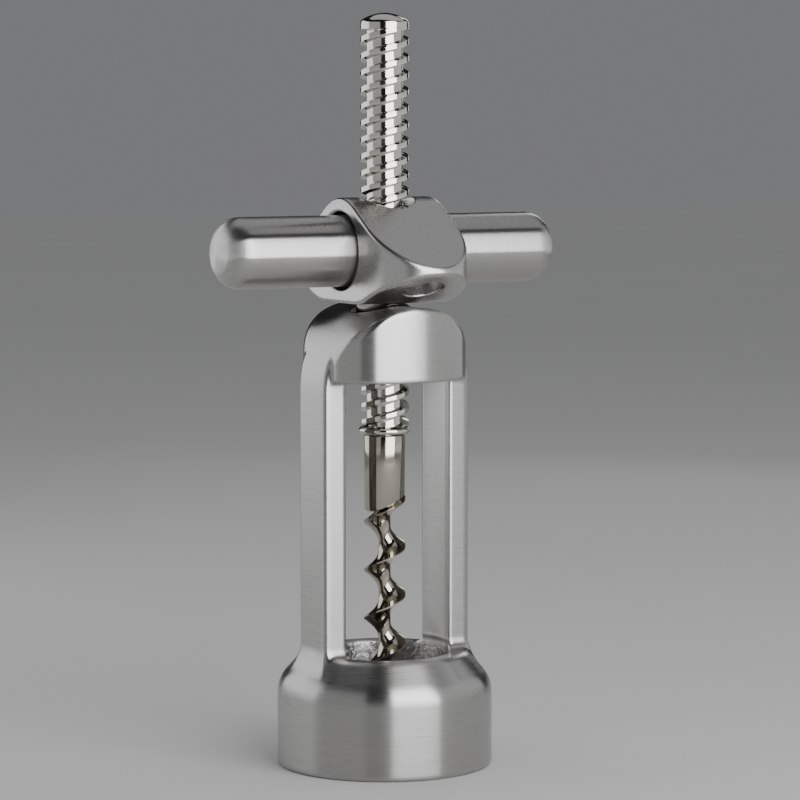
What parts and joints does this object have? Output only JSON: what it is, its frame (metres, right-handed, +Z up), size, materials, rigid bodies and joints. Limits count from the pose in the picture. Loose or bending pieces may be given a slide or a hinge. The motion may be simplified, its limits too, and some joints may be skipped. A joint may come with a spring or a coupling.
{
  "type": "screw-lift corkscrew",
  "caption": "All-steel bell corkscrew with a screw lift: a caged bell, a threaded spindle with a worm, and a T-bar nut hub that turns on the domed bridge.",
  "frame": {"origin": "centre of the bell's bottom face, on the screw's axis", "axes": "+Z up along the screw's axis, +X along the T-bar and through both legs, -Y towards the open front of the cage"},
  "size_m": [0.0752, 0.0454, 0.1498],
  "materials": {
    "satin_steel": "satin brushed stainless steel",
    "polished_steel": "polished stainless steel",
    "bronze": "turned bearing bronze",
    "nylon": "natural nylon",
    "black_steel": "black oxide steel"
  },
  "bodies": {
    "frame": {"cage_frame": "satin_steel", "bridge_bush": "bronze", "thrust_washer": "nylon"},
    "handle": {"nut_hub": "satin_steel", "handle_bar": "satin_steel", "threaded_sleeve": "polished_steel", "bar_set_screw": "black_steel"},
    "lift_ring": {"stop_ring": "polished_steel"},
    "spindle": {"threaded_spindle": "polished_steel", "worm": "polished_steel", "worm_cross_pin": "polished_steel"}
  },
  "joints": [
    {"name": "handle_turn", "type": "hinge", "parent": "frame", "child": "handle", "pos_m": [0, 0, 0.103], "axis": [0, 0, 1], "continuous": true},
    {"name": "spindle_lift", "type": "slide", "parent": "handle", "child": "lift_ring", "axis": [0, 0, 1], "range_m": [-0.033, 0.0095]},
    {"name": "spindle_turn", "type": "hinge", "parent": "lift_ring", "child": "spindle", "pos_m": [0, 0, 0.067], "axis": [0, 0, 1], "range_deg": [-1801, 519]}
  ],
  "couplings": [
    {"joint": "spindle_turn", "follows": "spindle_lift", "rad_per_m": 952}
  ]
}
